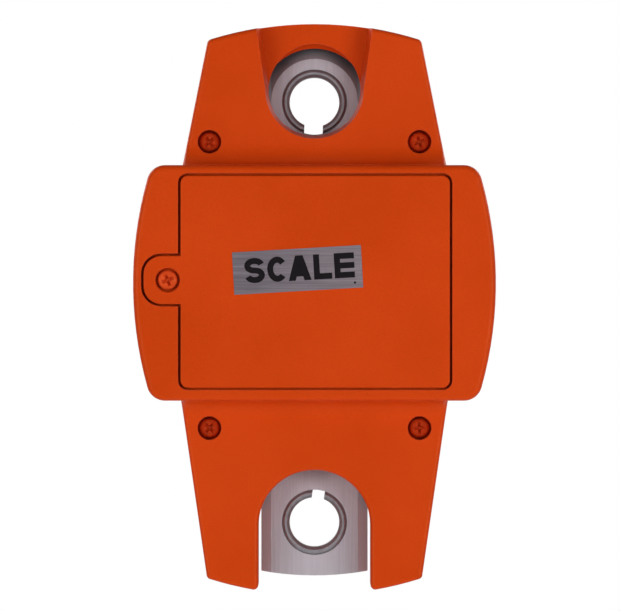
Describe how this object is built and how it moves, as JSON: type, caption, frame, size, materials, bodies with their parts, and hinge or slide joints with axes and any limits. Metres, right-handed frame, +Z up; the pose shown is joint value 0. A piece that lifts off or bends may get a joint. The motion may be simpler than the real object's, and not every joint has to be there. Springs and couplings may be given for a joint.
{
  "type": "crane scale",
  "caption": "Hanging crane scale: cast two-part housing round a flat load cell with a bushed eye at each end, screwed battery door, display and keys.",
  "frame": {"origin": "centre of the upper eye, in the middle of the load cell's thickness", "axes": "+Z up along the load line from the lower eye to the upper eye, +Y out of the display side, -Y out of the battery side, +X to the right seen from the battery side"},
  "size_m": [0.1052, 0.0475, 0.1644],
  "materials": {
    "orange_coat": "fine powder coat, semi-gloss",
    "screw_coat": "screws coated with the housing, worn in the cross recess",
    "load_cell_steel": "nickel plated, fine brushed",
    "bush_steel": "turned and rolled, bright chamfers",
    "inner_steel": "zinc plated",
    "black_rubber": "matt",
    "label_tape": "brushed metallised tape",
    "gauge_foil": "etched foil on film",
    "tray_plastic": "fine moulded texture",
    "battery_wrap": "printed shrink sleeve, plain bands",
    "contact_nickel": "nickel plated spring steel",
    "board_green": "solder resist",
    "chip_black": "moulded epoxy",
    "connector_white": "moulded nylon",
    "backlight_white": "diffusing light guide",
    "lcd_face": "reflective grey-green display glass",
    "window_clear": "clear hard-coated acrylic",
    "panel_film": "textured printed film",
    "button_red": "soft-touch moulded",
    "button_grey": "soft-touch moulded",
    "switch_black": "moulded",
    "lead_jacket": "PVC jacket"
  },
  "bodies": {
    "scale_body": {"rear_housing": "orange_coat", "front_housing": "orange_coat", "housing_gasket": "black_rubber", "upper_seal": "black_rubber", "lower_seal": "black_rubber", "housing_screws": "screw_coat", "load_cell": "load_cell_steel", "upper_eye_bush": "bush_steel", "lower_eye_bush": "bush_steel", "strain_gauges": "gauge_foil", "gauge_covers": "inner_steel", "load_cell_screws": "inner_steel", "battery_tray": "tray_plastic", "battery_cells": "battery_wrap", "contact_plates": "contact_nickel", "contact_springs": "contact_nickel", "main_board": "board_green", "board_screws": "inner_steel", "main_chips": "chip_black", "lead_connectors": "connector_white", "lcd_backlight": "backlight_white", "lcd_glass": "lcd_face", "display_window": "window_clear", "front_panel": "panel_film", "tact_switches": "switch_black", "battery_lead": "lead_jacket", "load_cell_lead": "lead_jacket"},
    "battery_cover": {"battery_door": "orange_coat", "door_gasket": "black_rubber", "capacity_label": "label_tape"},
    "cover_screw": {"door_screw": "orange_coat"},
    "power_button": {"button_power": "button_red", "switch_plunger_power": "switch_black"},
    "zero_button": {"button_zero": "button_grey", "switch_plunger_zero": "switch_black"},
    "hold_button": {"button_hold": "button_grey", "switch_plunger_hold": "switch_black"}
  },
  "joints": [
    {"name": "door_hinge", "type": "hinge", "parent": "scale_body", "child": "battery_cover", "pos_m": [0.03925, -0.027, -0.0524], "axis": [0, 0, 1], "range_deg": [0, 75]},
    {"name": "door_screw_travel", "type": "slide", "parent": "battery_cover", "child": "cover_screw", "axis": [0, -1, 0], "range_m": [0, 0.005]},
    {"name": "power_press", "type": "slide", "parent": "scale_body", "child": "power_button", "axis": [0, -1, 0], "range_m": [0, 0.0006], "stiffness_N_per_m": 2500, "springref_m": -0.0001},
    {"name": "zero_press", "type": "slide", "parent": "scale_body", "child": "zero_button", "axis": [0, -1, 0], "range_m": [0, 0.0006], "stiffness_N_per_m": 2500, "springref_m": -0.0001},
    {"name": "hold_press", "type": "slide", "parent": "scale_body", "child": "hold_button", "axis": [0, -1, 0], "range_m": [0, 0.0006], "stiffness_N_per_m": 2500, "springref_m": -0.0001}
  ]
}
